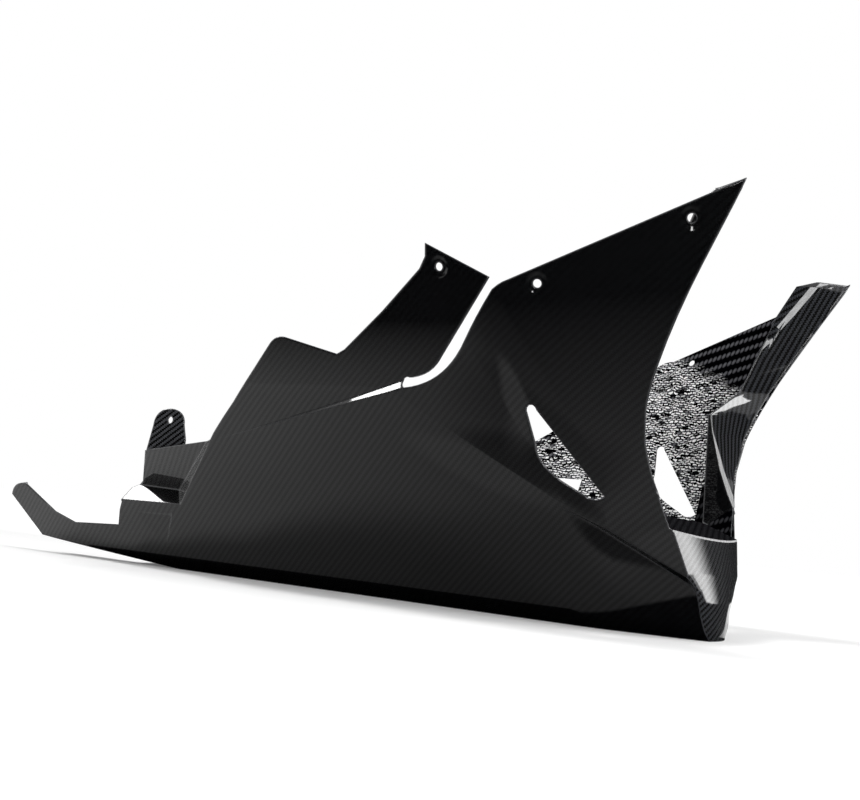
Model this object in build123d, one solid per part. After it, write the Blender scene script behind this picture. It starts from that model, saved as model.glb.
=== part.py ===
from build123d import *
import os

os.makedirs("parts", exist_ok=True)

# Frame and sizes in mm: +X forward, +Y to the rider's left, +Z up, keel on z = 0
WALL = 1.8  # laminate of the flanks, measured across the bike
SKIN = 1.6  # laminate of the floor, chin and flanges
HOLE_R = 3.2
SEAT_R, SEAT_FLAT_R, SEAT_DEEP = 9.0, 6.0, 0.5
DRILL = 12.0
REACH = 900.0  # past every edge, for cuts that go right through

# Flank planes: half width = base - taper * x + flare * z
WING = (144.0, 0.263, 0.39)
BOW = (163.8, 0.358, 0.46)
SIDE = (59.6, 0.0092, 0.536)
LOWER = (46.7, -0.0214, 0.591)
UNDERCUT = (139.2, 0.328, 0.591)
BILGE_Z, BILGE_FLARE, BILGE_R = 10.0, 1.2, 30.0
ARM_FLARE, ARM_Z, ARM_BEND_R = 0.35, 151.0, 300.0
ARM = (LOWER[0] + (LOWER[2] - ARM_FLARE) * ARM_Z, LOWER[1], ARM_FLARE)
POCKET = (21.5, -0.1, 0.8)
JOGGLE = (42.7, 0.0014, 0.57)
TAIL_END = (81.8, -0.1115, 0.41)


def half_width(plane, x, z):
    base, taper, flare = plane
    return base - taper * x + flare * z


def turned_in(plane):
    """The bilge plane that leaves a flank plane at the height BILGE_Z."""
    base, taper, flare = plane
    return (base + (flare - BILGE_FLARE) * BILGE_Z, taper, BILGE_FLARE)


def on(plane, x, z):
    """A point of the right flank."""
    return Vector(x, -half_width(plane, x, z), z)


def prism(points, way, amount):
    return extrude(make_face(Polyline(*points, close=True)), amount=amount, dir=way)


def outside(plane):
    """Everything to the right of a flank plane."""
    corners = ((-REACH, -REACH), (REACH, -REACH), (REACH, REACH), (-REACH, REACH))
    return prism([on(plane, x, z) for x, z in corners], (0, -1, 0), 3 * REACH)


def beyond(start, end, slope, way):
    """Everything on one side of the plane that holds a line and a slope."""
    a, b, s = Vector(*start), Vector(*end), Vector(*slope).normalized() * REACH
    run = (b - a).normalized() * REACH
    return prism([a - run - s, b + run - s, b + run + s, a - run + s], way, REACH)


def meet_x(p, q, z):
    """Where two flank planes cross at a height."""
    return (p[0] - q[0] + (p[2] - q[2]) * z) / (p[1] - q[1])


def ridge_cut(p, q, radius, x, z):
    """What rounds the ridge between two flank planes that meet at x, z."""
    apex = on(p, x, z)
    n1, n2 = (Vector(taper, -1, -flare).normalized() for _, taper, flare in (p, q))
    middle = (n1 + n2).normalized()
    centre = apex - (n1 + n2) * (radius / (1 + n1.dot(n2))) + middle * 0.02
    t1, t2 = centre + n1 * radius, centre + n2 * radius
    arc = ThreePointArc(t1, centre + middle * radius, t2)
    rest = Polyline(t2, t2 + n2 * 9, apex + middle * 9, t1 + n1 * 9, t1)
    return extrude(make_face([arc, *rest.edges()]), amount=REACH, dir=n1.cross(n2), both=True)


def xz(points):
    return [(x, 0, z) for x, z in points]


def outline(start, *runs):
    """A closed side-view outline; each run goes on from the end of the last."""
    kinds = {"line": Polyline, "curve": Spline, "arc": ThreePointArc}
    edges = []
    for kind, points in runs:
        edges += kinds[kind](*xz([start, *points])).edges()
        start = points[-1]
    return edges


def side_cut(edges):
    """A side-view outline taken right across the bike."""
    return Pos(0, -REACH / 2, 0) * extrude(make_face(edges), amount=REACH, dir=(0, 1, 0))


def mirrored(shape):
    return mirror(shape, Plane.XZ)


# Hull that the skin wraps: flank planes, the undercut below the bow chine, and the rising tail floor
CHINE = ((260.0, 89.0), (338.0, 50.0))
CHINE_SLOPE = (0, 1, -0.5)
UNDERCUT_R = 150.0
RIDGES = ((WING, SIDE, 180.0, 130.0), (WING, BOW, 250.0, 130.0), (SIDE, LOWER, 60.0, 100.0))
KEEL_FRONT = 341.0
TAIL_FLOOR_X, TAIL_FLOOR_RISE, TAIL_FLOOR_RUN = -190.0, 0.09, 300.0

hull = Pos(0, 0, REACH / 2) * Box(2 * REACH, 2 * REACH, REACH)
for plane in (WING, BOW, SIDE, LOWER, turned_in(LOWER)):
    hull = hull - outside(plane)
for p, q, radius, z in RIDGES:
    hull = hull - ridge_cut(p, q, radius, meet_x(p, q, z), z)
hull = hull - ridge_cut(LOWER, turned_in(LOWER), BILGE_R, 0, BILGE_Z)
under_chine = beyond(on(LOWER, *CHINE[0]), on(BOW, *CHINE[1]), CHINE_SLOPE, (0, 0, -1))
undercut_x = meet_x(UNDERCUT, LOWER, 0)
hull = hull - (under_chine & outside(UNDERCUT))
hull = hull - (under_chine & ridge_cut(UNDERCUT, LOWER, UNDERCUT_R, undercut_x, 0))
hull = hull - outside(turned_in(UNDERCUT))
hull = hull - ridge_cut(turned_in(UNDERCUT), turned_in(LOWER), UNDERCUT_R, undercut_x, 0)
hull = hull - ridge_cut(UNDERCUT, turned_in(UNDERCUT), BILGE_R, KEEL_FRONT, BILGE_Z)
tail_rise = outline(
    (TAIL_FLOOR_X, 0),
    ("line", [(TAIL_FLOOR_X - TAIL_FLOOR_RUN, TAIL_FLOOR_RUN * TAIL_FLOOR_RISE)]),
    ("line", [(TAIL_FLOOR_X - TAIL_FLOOR_RUN, -50), (TAIL_FLOOR_X, -50), (TAIL_FLOOR_X, 0)]),
)
hull = hull - side_cut(tail_rise)
both = hull & mirrored(hull)

# Right flank: arm recess over the groove, rear pocket, joggle and bent tail end
GROOVE = ((18.0, 151.0), (124.0, 174.8))
GROOVE_SLOPE = (0, 1, 2.5)
ARM_ZONE = ((-120, 100), (121.5, 170), (125, 180), (150, 187.5), (166, 198), (177, 212), (250, 307))
LEDGE = ((-240.0, 63.0), (-165.0, 64.0))
POCKET_FRONT = ((-152.0, 72.0), (-100.0, 125.0))
JOGGLE_X, JOGGLE_Z = -174.0, 55.0
TAIL_END_X = -300.0

arm_top = [(ARM_ZONE[-1][0], REACH), (ARM_ZONE[0][0], REACH)]
arm_zone = side_cut(outline(arm_top[-1], ("line", [*ARM_ZONE, *arm_top])))
over_groove = beyond(on(LOWER, *GROOVE[0]), on(LOWER, *GROOVE[1]), GROOVE_SLOPE, (0, 0, 1)) & arm_zone
bend = ridge_cut(ARM, LOWER, ARM_BEND_R, 0, ARM_Z)
right = hull - (over_groove & outside(ARM)) - (over_groove & bend)
over_ledge = beyond(on(LOWER, *LEDGE[0]), on(LOWER, *LEDGE[1]), (0, 1, 1), (0, 0, 1))
panel_end = [on(LOWER, *point) for point in POCKET_FRONT]
behind_panel = beyond(*panel_end, (-1.3, 1, 0), (-1, 0, 0))
right = right - (over_ledge & behind_panel & outside(POCKET))
corner = on(LOWER, JOGGLE_X, JOGGLE_Z)
joggle = beyond(corner, corner + Vector(1, 0, 0), (0, 1, -1), (0, 0, -1))
joggle = joggle & beyond(corner, corner + Vector(0, 0, 1), (-1, 1, 0), (-1, 0, 0))
right = right - (joggle & outside(JOGGLE))
tail_zone = Pos(TAIL_END_X - REACH / 2, 0, 0) * Box(REACH, 2 * REACH, 2 * REACH)
right = right - (outside(TAIL_END) & tail_zone)

# Side-view outlines
TIP, TAIL_TIP = (395.0, 328.0), (-422.0, 57.0)
LEADING = [(358, 261), (331, 204), (318, 156), (323, 113), (339, 52)]
FOOT = [(344, 30), (KEEL_FRONT + 7, -5)]
WING_TOP = (226, 255.3)
FLOOR_REAR = -262.0
LIP_Z = 20.0

right_outline = outline(
    TIP,
    ("curve", LEADING),
    ("line", FOOT + [(TAIL_FLOOR_X, -5), (-372, 10), TAIL_TIP]),
    ("curve", [(-416, 64), (-402, 69.5)]),
    ("line", [(-395, 71), (-350, 44), (-319, 35), (-254, 38), (-246, 53), (-240, 61), (-240, 76)]),
    ("line", [(-226, 84), (-204, 113), (-174, 117), (-100, 126), (-62, 160), (-15, 208)]),
    ("curve", [(-6, 214), (4, 214.5)]),
    ("line", [(57, 201.5), (65, 205), (106, 235), (144, 266), (150, 275), (151, 285), (206, 259)]),
    ("line", [(158, 200)]),
    ("curve", [(149, 191), (127, 184)]),
    ("arc", [(120.5, 179.5), (125, 175.5)]),
    ("curve", [(157, 185), (187, 212)]),
    ("line", [(213, 247.5)]),
    ("curve", [(219, 252), WING_TOP]),
    ("line", [TIP]),
)
left_outline = outline(
    TIP,
    ("curve", LEADING),
    ("line", FOOT + [(FLOOR_REAR, -5), (FLOOR_REAR, LIP_Z), (150, LIP_Z), (164, 34), (164, 128), (90, 128)]),
    ("arc", [(78, 135), (82, 150)]),
    ("line", [(208, 249)]),
    ("curve", [(217, 254), WING_TOP]),
    ("line", [TIP]),
)


def skin(body, edges):
    shell = body - Pos(0, WALL, 0) * body
    return shell & side_cut(edges)


right_skin = skin(right, right_outline)
left_skin = mirrored(skin(hull, left_outline))

# Floor of the keel, with a narrow strip under the tail tongue
TONGUE_REAR, TONGUE_INNER, FLOOR_TOP = -366.0, 22.0, 15.0
floor = both - Pos(0, 0, SKIN) * both
deck = Pos((KEEL_FRONT + FLOOR_REAR) / 2, 0, 0) * Box(KEEL_FRONT - FLOOR_REAR, REACH, 2 * FLOOR_TOP)
strip = Box(KEEL_FRONT - TONGUE_REAR, REACH, 2 * FLOOR_TOP)
strip = Pos((KEEL_FRONT + TONGUE_REAR) / 2, -TONGUE_INNER - REACH / 2, 0) * strip
floor = floor & (deck + strip)

# Chin and throat ramp: bowed wall across the front with a sloping top
CHIN = [(0, KEEL_FRONT, 39), (30, 341.5, 54), (52, 339, 74), (110, 325, 105)]
CHIN_BOW = 9.0
THROAT_X, RAMP_Z, RAMP_FALL = 297.0, 96.0, 0.35


def chin_level(z, x, w):
    front = ThreePointArc((x, -w, z), (x + CHIN_BOW, 0, z), (x, w, z))
    back = Polyline((x, w, z), (THROAT_X, w, z), (THROAT_X, -w, z), (x, -w, z))
    return make_face([front, *back.edges()])


chin = loft([chin_level(*level) for level in CHIN], ruled=True)
ramp_ends = [(THROAT_X + dx, RAMP_Z - dx * RAMP_FALL) for dx in (-50, 90)]
ramp_top = [(x, REACH) for x, z in reversed(ramp_ends)]
chin = chin - side_cut(outline(ramp_ends[0], ("line", [ramp_ends[1], *ramp_top, ramp_ends[0]])))
chin = (chin - Pos(-SKIN, 0, -SKIN) * chin) & both

# Return flange behind each leading edge: level, leading edge, free edge of the left one, and fold
THROAT_Y, STEP_Z = 96.0, 194.0
FOLD_SHARE = 0.2
FLANGE = [
    (327, 394.5, (369, 150), 0.1, 0.8),
    (321, 391.5, (354, 140), 0.33, 4.0),
    (288, 373, (338, 132), FOLD_SHARE, 3.0),
    (250, 352.8, (324.5, 126.4)),
    (219, 336.6, (313.5, 121.8)),
    (STEP_Z, 326.2, (296, THROAT_Y)),
    (177, 321, (299.5, THROAT_Y)),
    (144, 318, (309, THROAT_Y)),
    (124, 320.5, (317, THROAT_Y)),
    (112, 324, (323, THROAT_Y)),
]
FLANGE_BACK = (-1.2, 1.0)
FLANGE_ROOT = 5.0
CHEEK_FOOT = [(335, 85), (THROAT_X, 85), (294, STEP_Z)]
LINING = [(THROAT_X, 84), (330, 70), (322, 116), (314, 128), (304, 124)]


def flange_level(z, lead_x, free, share=FOLD_SHARE, rise=0.0):
    lead = Vector(lead_x, min(half_width(plane, lead_x, z) for plane in (WING, BOW)))
    free = Vector(*free)
    way = (lead - free).normalized()
    fold = free + (lead - free) * share + Vector(way.Y, -way.X) * rise
    lead = lead + way * FLANGE_ROOT
    back = Vector(*FLANGE_BACK)
    corners = [lead, fold, free, free + back, fold + back, lead + back]
    return make_face(Polyline(*[(p.X, p.Y, z) for p in corners], close=True))


flange = loft([flange_level(*level) for level in FLANGE], ruled=True)
cheek_edge = [(level[2][0], level[0]) for level in FLANGE if level[2][1] == THROAT_Y]
cheek = Pos(0, THROAT_Y, 0) * prism(xz(cheek_edge + CHEEK_FOOT), (0, 1, 0), SKIN)
inner = Pos(0, WALL, 0) * hull
lining = mirrored(inner - Pos(0, SKIN, 0) * inner) & side_cut(outline(LINING[-1], ("line", LINING)))
flange = (flange + cheek + lining) & both
flanges = flange + mirrored(flange)

pan = right_skin + left_skin + floor + chin + flanges

# Fixing tab, standing on the pocket wall where that wall is TAB_Y from the middle
TAB_Y, TAB_HOLE = 92.0, (-176.0, 144.0)
TAB_REAR, TAB_FRONT = -202.0, -154.0


def pocket_z(x):
    base, taper, flare = POCKET
    return (TAB_Y - base + taper * x) / flare


tab = outline(
    (TAB_REAR, pocket_z(TAB_REAR)),
    ("line", [(-197, 138)]),
    ("curve", [(-190, 151.5), (-177, 155), (-163, 151), (-158, 140)]),
    ("line", [(TAB_FRONT, 126), (TAB_FRONT, pocket_z(TAB_FRONT)), (TAB_REAR, pocket_z(TAB_REAR))]),
)
pan = pan + Pos(0, -TAB_Y, 0) * extrude(make_face(tab), amount=SKIN, dir=(0, 1, 0))

# Vents, taken through both flanks
VENT_TIP, VENT_SHOULDER = (286, 103), (239, 163)
vent = outline(
    VENT_SHOULDER,
    ("line", [VENT_TIP]),
    ("curve", [(281, 100.5), (272, 102)]),
    ("curve", [(252, 113), (240, 123), (235, 139)]),
    ("line", [(231, 161)]),
    ("arc", [(234, 166.5), VENT_SHOULDER]),
)
pan = pan - side_cut(vent)

# Bolt holes with pressed seats
WING_HOLES = ((247.0, 253.0), (358.0, 301.0))
ARM_HOLE = (162.0, 267.0)


def drill(shape, plane, x, z, hand):
    base, taper, flare = plane
    normal = Vector(taper, hand, -flare).normalized()
    point = Vector(x, hand * half_width(plane, x, z), z)
    seat = Plane(origin=point, z_dir=normal)
    dish = seat * Pos(0, 0, -SEAT_DEEP / 2) * Cone(SEAT_FLAT_R, SEAT_R, SEAT_DEEP)
    return shape - seat * Cylinder(HOLE_R, DRILL) - dish


for hand in (-1, 1):
    for x, z in WING_HOLES:
        pan = drill(pan, WING, x, z, hand)
pan = drill(pan, ARM, *ARM_HOLE, -1)
pan = pan - Pos(TAB_HOLE[0], -TAB_Y, TAB_HOLE[1]) * Rot(90, 0, 0) * Cylinder(HOLE_R, DRILL)

# Origin under the middle of the length, in the bike's mid plane
pan = Pos(-(TIP[0] + TAIL_TIP[0]) / 2, 0, 0) * pan
export_step(pan, "parts/belly_pan.step")
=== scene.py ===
import math

import bpy
from mathutils import Matrix, Vector

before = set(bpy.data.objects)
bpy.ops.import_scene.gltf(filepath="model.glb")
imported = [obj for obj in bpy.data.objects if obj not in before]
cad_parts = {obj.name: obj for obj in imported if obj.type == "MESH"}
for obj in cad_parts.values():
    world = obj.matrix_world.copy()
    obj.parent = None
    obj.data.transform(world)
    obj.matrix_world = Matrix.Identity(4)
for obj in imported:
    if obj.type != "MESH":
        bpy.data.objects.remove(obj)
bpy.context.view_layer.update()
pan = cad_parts["belly_pan"]

# One millimetre in metres
MM = 0.001

# Sizes of the cloth, its painted glints and the moulded bends, in millimetres
FLANK_TOW = 1.6
FRONT_TOW = 1.72
BARE_TOW = 3.4
LACQUERED_RELIEF = 0.5
BARE_RELIEF = 1.4
BEND_RADIUS = 2.5
GLINT_LENGTH = 5.4
GLINT_WIDTH = 2.4
GLINT_GAP = 1.0
GLINT_PATCH = 12.5
GLINT_STRAY = (8.0, 10.0)

# How the cloths are laid, in degrees
FLANK_LAY = -3.5
FRONT_LAY = -11.0
BARE_LAY = -28.0

# A two-over-two twill repeats after four tows, and each tow floats over two
TWILL_REPEAT = 4.0
TWILL_FLOAT = 2.0

# How steeply a tow falls from its crown, along its float and across its width
FLOAT_FALL = 0.45
WIDTH_FALL = 1.6

# How far a face points forward or up, as a cosine, to be laid as a front, a slanting or a level one
FRONT_FACING = 0.9
SLANT_FACING = 0.7
SLANT_SPREAD = 0.2
LEVEL_FACING = 0.8

# Sine of 45 degrees, for cloth on the bias
BIAS = 0.707

# Paper fibres of about 1.1 mm
FIBRES_PER_METRE = 900.0


def linear(hex_colour):
    """An sRGB hex colour as linear red, green, blue and alpha."""
    parts = [int(hex_colour[start:start + 2], 16) / 255 for start in (1, 3, 5)]
    return [part / 12.92 if part <= 0.04045 else ((part + 0.055) / 1.055) ** 2.4 for part in parts] + [1.0]


BLACK = linear("#000000")
WHITE = linear("#ffffff")


# A Mix node keeps numbers in inputs 2 and 3, vectors in 4 and 5, and colours in 6 and 7
def add(tree, kind, *values, named={}, **settings):
    """Adds a node with its settings; a value, socket or node goes to each input, in order or by name."""
    made = tree.nodes.new("ShaderNode" + kind)
    for name, value in settings.items():
        setattr(made, name, value)
    for key, value in [*enumerate(values), *named.items()]:
        if isinstance(value, bpy.types.Node):
            value = value.outputs[0]
        if isinstance(value, bpy.types.NodeSocket):
            tree.links.new(value, made.inputs[key])
        else:
            made.inputs[key].default_value = value
    return made


def new_tree(owner):
    """The emptied node tree of that material or world."""
    owner.use_nodes = True
    owner.node_tree.nodes.clear()
    return owner.node_tree


def cloth_place(tree):
    """Where a point lies on the cloth, in metres: laid from the side, top or front, or on the bias."""
    x, y, z = add(tree, "SeparateXYZ", add(tree, "TexCoord").outputs["Object"]).outputs
    facing = add(tree, "SeparateXYZ", add(tree, "NewGeometry").outputs["True Normal"]).outputs
    ahead = add(tree, "Math", facing["X"], operation="ABSOLUTE")
    upward = add(tree, "Math", facing["Z"], operation="ABSOLUTE")
    front = add(tree, "Math", ahead, FRONT_FACING, operation="GREATER_THAN")
    slant = add(tree, "Math", ahead, SLANT_FACING, SLANT_SPREAD, operation="COMPARE")
    level = add(tree, "Math", upward, LEVEL_FACING, operation="GREATER_THAN")
    bias = add(tree, "Math", z, BIAS, operation="MULTIPLY")
    bias_run = add(tree, "Math", y, 1.0, bias, operation="MULTIPLY_ADD")
    bias_rise = add(tree, "Math", y, -1.0, bias, operation="MULTIPLY_ADD")
    run = add(tree, "Mix", named={0: front, 2: x, 3: y})
    run = add(tree, "Mix", named={0: slant, 2: run, 3: bias_run})
    rise = add(tree, "Mix", named={0: level, 2: z, 3: y})
    rise = add(tree, "Mix", named={0: slant, 2: rise, 3: bias_rise})
    return run, rise


def twill(tree, run, rise, tow, lay):
    """Two-over-two twill, its tows given in millimetres: where the warp is on top, and the height."""
    cosine = math.cos(math.radians(lay)) / (tow * MM)
    sine = math.sin(math.radians(lay)) / (tow * MM)
    turned = add(tree, "Math", rise, sine, operation="MULTIPLY")
    weft = add(tree, "Math", run, cosine, turned, operation="MULTIPLY_ADD")
    turned = add(tree, "Math", run, -sine, operation="MULTIPLY")
    warp = add(tree, "Math", rise, cosine, turned, operation="MULTIPLY_ADD")
    column = add(tree, "Math", weft, operation="FLOOR")
    row = add(tree, "Math", warp, operation="FLOOR")
    step = add(tree, "Math", column, row, operation="SUBTRACT")
    step = add(tree, "Math", step, TWILL_REPEAT, operation="FLOORED_MODULO")
    warp_up = add(tree, "Math", step, TWILL_FLOAT, operation="LESS_THAN")
    heights = []
    for along, lane, offset, across in ((warp, column, -1.0, weft), (weft, row, 2.0, warp)):
        start = add(tree, "Math", lane, offset, operation="ADD")
        past = add(tree, "Math", along, start, operation="SUBTRACT")
        past = add(tree, "Math", past, TWILL_REPEAT, operation="FLOORED_MODULO")
        arch = add(tree, "Math", past, TWILL_FLOAT / 2, operation="SUBTRACT")
        arch = add(tree, "Math", arch, 2.0, operation="POWER")
        side = add(tree, "Math", across, operation="FRACT")
        side = add(tree, "Math", side, 0.5, operation="SUBTRACT")
        side = add(tree, "Math", side, 2.0, operation="POWER")
        side = add(tree, "Math", side, WIDTH_FALL, operation="MULTIPLY")
        fall = add(tree, "Math", arch, FLOAT_FALL, side, operation="MULTIPLY_ADD")
        heights.append(add(tree, "Math", 1.0, fall, operation="SUBTRACT"))
    return warp_up, add(tree, "Mix", named={0: warp_up, 2: heights[1], 3: heights[0]})


# Folds that the mould rounds: middle, reach, the way across, half width, and the normals either side
FOLDS = (
    # Left flange's crease
    ((0.371, 0.14, 0.3045), 0.03, (0.69, 0.43, -0.58), 0.009,
     (0.33, -0.94, 0.08), (0.65, -0.74, -0.19)),
    # Tail's bend
    ((-0.326, -0.0545, 0.025), 0.035, (-0.49, -0.37, 0.79), 0.014,
     (-0.02, -0.86, -0.51), (-0.1, -0.92, -0.38)),
)

# Edges that the mould rounds: the way across, its middle, half width, the turned normal and the face's
EDGES = (
    # Left cheek's front edge
    ((0.0, 1.0, 0.12), 0.1138, 0.0042, (0.55, -0.83, 0.07), (0.86, -0.44, 0.24)),
    # Chin's lip
    ((0.33, 0.0, 0.944), 0.1925, 0.0008, (0.56, -0.62, 0.55), (0.97, -0.05, 0.22)),
)

# How nearly a face has to match a fold's or an edge's normal, as a cosine
FOLD_MATCH = 0.99
EDGE_MATCH = 0.96


def rounded(tree, normal):
    """That normal, turned steadily across the folds and at once along the edges."""
    shape = add(tree, "NewGeometry")
    place = shape.outputs["Position"]
    facing = shape.outputs["True Normal"]
    for middle, reach, across, half, one, other in FOLDS:
        at = sum(length * way for length, way in zip(middle, across))
        along = add(tree, "VectorMath", place, across, operation="DOT_PRODUCT").outputs["Value"]
        share = add(tree, "MapRange", along, at - half, at + half, 0.0, 1.0, interpolation_type="SMOOTHSTEP")
        turned = add(tree, "Mix", named={0: share, 4: one, 5: other}, data_type="VECTOR").outputs[1]
        like_one = add(tree, "VectorMath", facing, one, operation="DOT_PRODUCT").outputs["Value"]
        like_other = add(tree, "VectorMath", facing, other, operation="DOT_PRODUCT").outputs["Value"]
        alike = add(tree, "Math", like_one, like_other, operation="MAXIMUM")
        alike = add(tree, "Math", alike, FOLD_MATCH, operation="GREATER_THAN")
        far = add(tree, "VectorMath", place, middle, operation="DISTANCE").outputs["Value"]
        within = add(tree, "Math", far, reach, operation="LESS_THAN")
        here = add(tree, "Math", alike, within, operation="MULTIPLY")
        normal = add(tree, "Mix", named={0: here, 4: normal, 5: turned}, data_type="VECTOR").outputs[1]
    for across, middle, half, turned, face in EDGES:
        along = add(tree, "VectorMath", place, across, operation="DOT_PRODUCT").outputs["Value"]
        within = add(tree, "Math", along, middle, half, operation="COMPARE")
        alike = add(tree, "VectorMath", facing, face, operation="DOT_PRODUCT").outputs["Value"]
        alike = add(tree, "Math", alike, EDGE_MATCH, operation="GREATER_THAN")
        here = add(tree, "Math", within, alike, operation="MULTIPLY")
        normal = add(tree, "Mix", named={0: here, 4: normal, 5: turned}, data_type="VECTOR").outputs[1]
    return normal


def lacquered_twill(name, tow, lay, dark, pale, coat):
    """Twill under a clear coat, with a highlight painted along its edges and bends."""
    made = bpy.data.materials.new(name)
    tree = new_tree(made)
    run, rise = cloth_place(tree)
    warp_up, height = twill(tree, run, rise, tow, lay)
    tone = add(tree, "Mix", named={0: warp_up, 6: linear(dark), 7: linear(pale)}, data_type="RGBA").outputs[2]
    eased = add(tree, "Bevel", named={"Radius": BEND_RADIUS * MM}, samples=8)
    facing = add(tree, "NewGeometry").outputs["True Normal"]
    flat = add(tree, "VectorMath", eased, facing, operation="DOT_PRODUCT").outputs["Value"]
    # Painted highlight: a paler colour where a bend turns the face by 16 to 46 degrees
    painted_edge_highlight = add(tree, "MapRange", flat, 0.96, 0.7, 0.0, 1.0)
    tone = add(tree, "Mix", named={0: painted_edge_highlight, 6: tone, 7: linear("#4a4b4e")}, data_type="RGBA").outputs[2]
    eased = rounded(tree, eased)
    weave = add(tree, "Bump", named={
        "Height": height, "Strength": 0.5, "Distance": LACQUERED_RELIEF * MM, "Normal": eased})
    gloss = add(tree, "MapRange", warp_up, 0.0, 1.0, coat, 1.0)
    shader = add(tree, "BsdfPrincipled", named={
        "Base Color": tone, "Roughness": 0.35, "Specular IOR Level": 0.03, "Normal": weave,
        "Coat Weight": gloss, "Coat Roughness": 0.03, "Coat IOR": 1.5, "Coat Normal": eased})
    add(tree, "OutputMaterial", shader)
    return made


# Lacquered carbon twill: almost black, with faint diagonal wales under a deep gloss
lacquered = lacquered_twill("clear_coated_twill_carbon", FLANK_TOW, FLANK_LAY, "#040405", "#08090a", 0.8)
# The same on the flanges and chin, with the tows painted paler as a sheen where the light brings them out
twill_with_front_sheen = lacquered_twill("clear_coated_twill_carbon_with_painted_front_sheen", FRONT_TOW, FRONT_LAY, "#040404", "#26272a", 0.9)
# The same on the tab, with the tows painted paler still as a sheen where they stand out most
twill_with_tab_sheen = lacquered_twill("clear_coated_twill_carbon_with_painted_tab_sheen", FRONT_TOW, FRONT_LAY, "#030303", "#404144", 0.9)

# Bare woven carbon on the inner face: a coarse twill with a painted sheen on its floats, and below it rough
# open cloth with hard white glints painted on
bare = bpy.data.materials.new("dry_open_weave_carbon_with_painted_glints")
tree = new_tree(bare)
run, rise = cloth_place(tree)
warp_up, height = twill(tree, run, rise, BARE_TOW, BARE_LAY)
place = add(tree, "SeparateXYZ", add(tree, "NewGeometry").outputs["Position"]).outputs

# Painted glints as short dashes in wandering rows
flat = add(tree, "CombineXYZ", run, rise, 0.0)
wander = add(tree, "TexNoise", flat, named={"Scale": 1 / (GLINT_PATCH * MM), "Detail": 3.0, "Roughness": 0.6})
stray = (GLINT_STRAY[0] * MM, GLINT_STRAY[1] * MM, 0.0)
strayed = add(tree, "VectorMath", wander.outputs["Color"], stray, flat, operation="MULTIPLY_ADD")
dashes = add(tree, "TexBrick", strayed, BLACK, WHITE, BLACK, named={
    "Scale": 1.0, "Mortar Size": GLINT_GAP * MM, "Mortar Smooth": 0.7, "Bias": 0.34,
    "Brick Width": GLINT_LENGTH * MM, "Row Height": GLINT_WIDTH * MM})

# They gather in patches and thin out to the rear
fewer = add(tree, "MapRange", place["X"], 0.02, 0.16, -0.7, 0.0)
patchy = add(tree, "Math", wander.outputs[0], 1.6, fewer, operation="MULTIPLY_ADD")
painted_glint = add(tree, "Math", dashes, patchy, operation="ADD")
painted_glint = add(tree, "MapRange", painted_glint, 1.1, 1.42, 0.0, 1.0)

# They end at a slanting, ragged line, above which the twill shows
line = add(tree, "Math", wander.outputs[0], 0.03, place["Z"], operation="MULTIPLY_ADD")
line = add(tree, "Math", place["X"], 0.46, line, operation="MULTIPLY_ADD")
below = add(tree, "MapRange", line, 0.377, 0.391, 1.0, 0.0)
painted_glint = add(tree, "Math", painted_glint, below, operation="MULTIPLY")

# The front foot beside the chin gets no painted glints and less painted sheen, a painted shade there
behind = add(tree, "Math", place["X"], 0.3, operation="LESS_THAN")
above = add(tree, "Math", place["Z"], 0.13, operation="GREATER_THAN")
off_foot = add(tree, "Math", behind, above, operation="MAXIMUM")
painted_glint = add(tree, "Math", painted_glint, off_foot, operation="MULTIPLY")
# Crowns of the warp floats painted paler, a painted sheen
crown = add(tree, "MapRange", height, 0.5, 1.0, 0.0, 1.0)
painted_sheen = add(tree, "Math", warp_up, crown, operation="MULTIPLY")
foot_painted_shade = add(tree, "MapRange", off_foot, 0.0, 1.0, 0.3, 1.0)
painted_sheen = add(tree, "Math", painted_sheen, foot_painted_shade, operation="MULTIPLY")

tone = add(tree, "Mix", named={
    0: painted_sheen, 6: linear("#020203"), 7: linear("#58585c")}, data_type="RGBA").outputs[2]
tone = add(tree, "Mix", named={0: painted_glint, 6: tone, 7: linear("#f2f2f2")}, data_type="RGBA").outputs[2]
weave = add(tree, "Bump", named={"Height": height, "Strength": 0.6, "Distance": BARE_RELIEF * MM})
shader = add(tree, "BsdfPrincipled", named={
    "Base Color": tone, "Roughness": 0.35, "Specular IOR Level": 0.0, "Normal": weave})
add(tree, "OutputMaterial", shader)

# Each face's finish, from where it lies and the way it faces
finishes = (lacquered, bare, twill_with_front_sheen, twill_with_tab_sheen)
pan.data.materials.clear()
for finish in finishes:
    pan.data.materials.append(finish)
for face in pan.data.polygons:
    normal = face.normal
    middle = face.center
    inward = middle.y * normal.y < 0
    flank_inside = inward and normal.z > 0.15 and normal.x < 0.25
    floor_top = normal.z > 0.8 and (middle.z < 0.03 or middle.x > 0.3)
    flange = inward and normal.x > 0.3 and middle.x > 0.29
    chin = normal.x > 0.9 and middle.z < 0.09
    tab = abs(normal.y) > 0.99 and middle.x < -0.1 and middle.z > 0.1
    if floor_top or flank_inside:
        finish = bare
    elif flange or chin:
        finish = twill_with_front_sheen
    elif tab:
        finish = twill_with_tab_sheen
    else:
        finish = lacquered
    face.material_index = finishes.index(finish)


def plane(name, place, size, turn, material):
    """A flat stage piece of that size in metres."""
    bpy.ops.mesh.primitive_plane_add(size=1, location=place, rotation=turn)
    made = bpy.context.object
    made.name = name
    made.scale = (*size, 1)
    made.data.materials.append(material)
    return made


def seen_rays(tree):
    """One on rays from the eye, straight or by way of a mirror or glass, and nought on the rest."""
    path = add(tree, "LightPath").outputs
    seen = add(tree, "Math", path["Is Camera Ray"], path["Is Glossy Ray"], operation="MAXIMUM")
    return add(tree, "Math", seen, path["Is Transmission Ray"], operation="MAXIMUM")


# Turns of the stage pieces: flat on the floor, upright along the bike, and upright across it
LYING = (0, 0, 0)
UPRIGHT = (math.pi / 2, 0, 0)
ACROSS = (math.pi / 2, 0, math.pi / 2)

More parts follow.
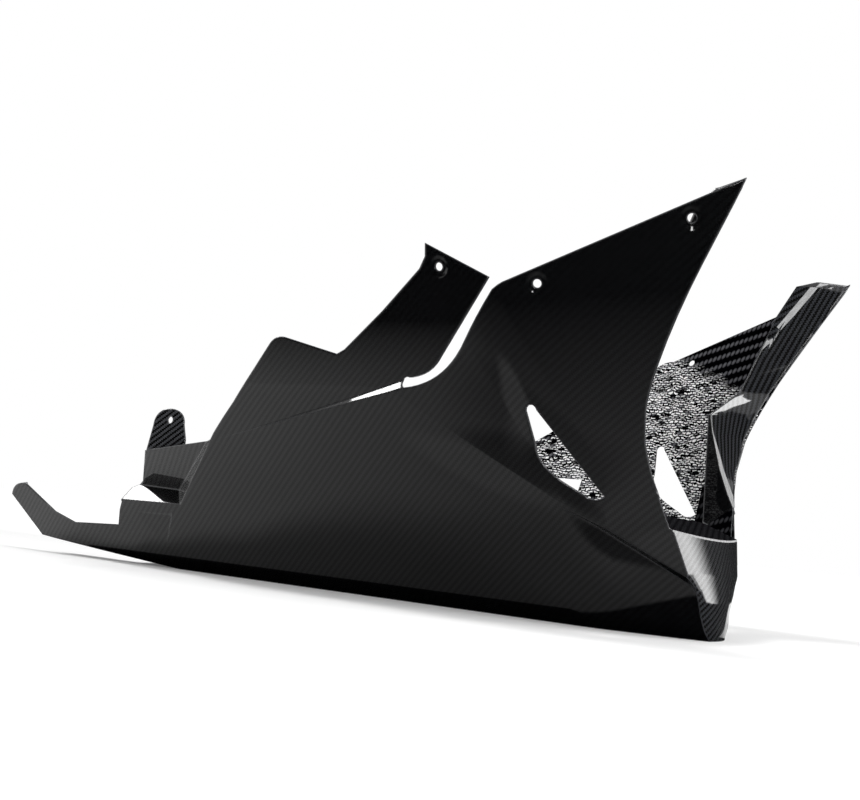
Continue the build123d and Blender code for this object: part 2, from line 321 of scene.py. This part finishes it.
# White paper floor: matt, and as pale as the backdrop to the eye, with the pan's soft shadow
paper = bpy.data.materials.new("matt_white_paper")
tree = new_tree(paper)
spot = add(tree, "NewGeometry").outputs["Position"]
fibres = add(tree, "TexNoise", spot, named={"Scale": FIBRES_PER_METRE, "Detail": 2.0})
tone = add(tree, "Mix", named={
    0: fibres.outputs[0], 6: linear("#f4f4f4"), 7: linear("#fafafa")}, data_type="RGBA").outputs[2]
sheet = add(tree, "BsdfPrincipled", named={"Base Color": tone, "Roughness": 0.9, "Specular IOR Level": 0.1})
# To the eye it glows more with distance, to match the backdrop, and beyond the pan, where painted light
# covers the lamps' shadows
away = add(tree, "VectorMath", spot, operation="LENGTH").outputs["Value"]
lift = add(tree, "MapRange", away, 0.5, 2.4, 0.1, 0.66, interpolation_type="SMOOTHSTEP")
painted_light_beyond = add(tree, "SeparateXYZ", spot).outputs["Y"]
painted_light_beyond = add(tree, "MapRange", painted_light_beyond, 0.12, 0.5, 0.0, 0.5, interpolation_type="SMOOTHSTEP")
lift = add(tree, "Math", lift, painted_light_beyond, operation="MAXIMUM")
glow = add(tree, "Math", seen_rays(tree), lift, operation="MULTIPLY")
glow = add(tree, "Emission", WHITE, glow)
add(tree, "OutputMaterial", add(tree, "AddShader", sheet, glow))
plane("floor", (0, 0, 0), (40, 40), LYING, paper)

# Soft patches on the card, seen in the near flank as painted highlights and shade: middle, turn in degrees,
# half the length and width, colour and share
REFLECTED_PATCHES = (
    ((0.2, -0.29), 17.7, (0.2, 0.1), BLACK, 0.33),
    ((0.18, -0.217), 17.7, (0.13, 0.034), BLACK, 0.62),
    ((0.155, -0.325), 90.0, (0.11, 0.04), WHITE, 0.4),
    ((0.318, -0.121), 25.0, (0.1, 0.018), BLACK, 0.72),
    ((0.37, -0.135), 0.0, (0.06, 0.035), WHITE, 0.35),
    ((0.12, -0.192), 17.7, (0.13, 0.022), WHITE, 0.25),
)

# Card that paints the near flank's reflections: matt and black, but pale beside the pan and white to its
# rear, for the tones of the near flank
card = bpy.data.materials.new("matt_card_of_painted_reflections")
tree = new_tree(card)
spot = add(tree, "NewGeometry").outputs["Position"]
x, y = add(tree, "SeparateXYZ", spot).outputs[:2]
near_side = add(tree, "Math", y, 0.0, operation="LESS_THAN")
beside = add(tree, "MapRange", y, -0.6, -0.12, 0.0, 1.0)
beside = add(tree, "Math", beside, near_side, operation="MULTIPLY")
tone = add(tree, "Mix", named={
    0: beside, 6: linear("#0a0a0a"), 7: linear("#c4c4c4")}, data_type="RGBA").outputs[2]
close = add(tree, "MapRange", y, -0.6, -0.4, 0.0, 1.0)
rear = add(tree, "MapRange", x, 0.12, -0.36, 0.0, 1.0)
rear = add(tree, "Math", rear, close, operation="MULTIPLY")
rear = add(tree, "Math", rear, near_side, operation="MULTIPLY")
tone = add(tree, "Mix", named={0: rear, 6: tone, 7: WHITE}, data_type="RGBA").outputs[2]
for middle, degrees, reach, colour, share in REFLECTED_PATCHES:
    local = add(tree, "Mapping", spot, (*middle, 0.0), vector_type="TEXTURE", named={
        "Rotation": (0.0, 0.0, math.radians(degrees)), "Scale": (*reach, 1.0)})
    inside = add(tree, "TexGradient", local, gradient_type="SPHERICAL").outputs[1]
    inside = add(tree, "MapRange", inside, 0.0, 0.5, 0.0, share, interpolation_type="SMOOTHSTEP")
    tone = add(tree, "Mix", named={0: inside, 6: tone, 7: colour}, data_type="RGBA").outputs[2]

# Black under the pan, seen in the bilge as painted shade
shade_under = add(tree, "Math", x, 0.0243, y, operation="MULTIPLY_ADD")
shade_under = add(tree, "MapRange", shade_under, -0.06, -0.057, 0.0, 1.0)
tone = add(tree, "Mix", named={0: shade_under, 6: tone, 7: linear("#050505")}, data_type="RGBA").outputs[2]
add(tree, "OutputMaterial", add(tree, "BsdfDiffuse", tone))

# Graded light panel, seen only in gloss as a painted reflection on the chin: dark at the rear and bright to
# the front, for the soft turn of the chin
panel = bpy.data.materials.new("graded_light_panel")
tree = new_tree(panel)
x = add(tree, "SeparateXYZ", add(tree, "NewGeometry").outputs["Position"])
bright = add(tree, "MapRange", x, 0.82, 1.2, 0.02, 5.5, interpolation_type="SMOOTHSTEP")
add(tree, "OutputMaterial", add(tree, "Emission", WHITE, bright))

# Cards and the panel, seen only in the pan's gloss, where they paint its reflections: name, middle, size,
# turn and material
CARDS = (
    ("front_card", (1.45, -0.83, 0.0005), (4.3, 1.74), LYING, card),
    ("left_panel", (0.85, 1.1, 0.25), (1.4, 0.5), UPRIGHT, panel),
    ("left_floor_card", (0.68, 0.52, 0.0005), (0.6, 1.16), LYING, card),
    ("back_card", (0.5, -1.7, 0.6), (7.0, 1.2), UPRIGHT, card),
    ("front_high_card", (1.65, 0.5, 0.6), (1.1, 0.9), ACROSS, card),
    ("rear_card", (-1.5, 0.62, 0.2), (0.7, 0.4), ACROSS, card),
)
for name, place, size, turn, material in CARDS:
    made = plane(name, place, size, turn, material)
    made.visible_camera = False
    made.visible_diffuse = False
    made.visible_shadow = False

# World: white to the eye and in reflections, a soft fill for the rest
world = bpy.data.worlds.new("studio")
bpy.context.scene.world = world
tree = new_tree(world)
fill = add(tree, "Background", WHITE, 0.42)
backdrop = add(tree, "Background", WHITE, 1.0)
add(tree, "OutputWorld", add(tree, "MixShader", seen_rays(tree), fill, backdrop))


def softbox(name, place, aim, size, power):
    """A lamp of that size in metres and power in watts, turned to its aim."""
    lamp = bpy.data.lights.new(name, "AREA")
    lamp.shape = "RECTANGLE"
    lamp.size, lamp.size_y = size
    lamp.energy = power
    made = bpy.data.objects.new(name, lamp)
    made.location = place
    made.rotation_euler = (Vector(aim) - Vector(place)).to_track_quat("-Z", "Y").to_euler()
    bpy.context.collection.objects.link(made)


# Small softboxes, each where one glossy face of the pan mirrors it to the camera
softbox("rear_high", (-1.2, -0.03, 1.05), (-0.19, -0.07, 0.07), (0.26, 0.26), 3.2)
softbox("rear_low", (-0.93, -0.466, 0.871), (0.113, -0.148, 0.171), (0.11, 0.11), 1.0)
softbox("front_high", (1.42, -0.1, 0.7), (0.325, 0.117, 0.21), (0.26, 0.4), 5.2)
softbox("rear_right", (-0.1, -0.25, 1.3), (0.28, 0.16, 0.2), (0.3, 0.3), 6.0)
softbox("behind_camera", (0.57, -1.42, 0.13), (0.335, 0.1, 0.15), (0.08, 0.3), 1.9)
softbox("front_right", (1.42, -0.85, 0.485), (0.371, 0.14, 0.305), (0.5, 0.5), 8.5)
softbox("front_top", (1.12, 0.0, 1.26), (0.395, 0.157, 0.324), (0.34, 0.34), 4.0)

# Camera low on the bike's right, a little ahead
eye = (0.6635, -0.98, 0.065)
right = Vector((0.857, 0.5052, 0.1025))
up = Vector((-0.0347, -0.1419, 0.9893))
ahead = Vector((-0.5142, 0.8513, 0.1041))
lens = bpy.data.cameras.new("camera")
lens.sensor_fit = "HORIZONTAL"
lens.sensor_width = 36.0
lens.lens = 51.49
camera = bpy.data.objects.new("camera", lens)
turn = Matrix((right.normalized(), up.normalized(), -ahead.normalized())).transposed().to_4x4()
camera.matrix_world = Matrix.Translation(eye) @ turn
bpy.context.collection.objects.link(camera)
bpy.context.scene.camera = camera
bpy.context.scene.view_settings.view_transform = "Standard"
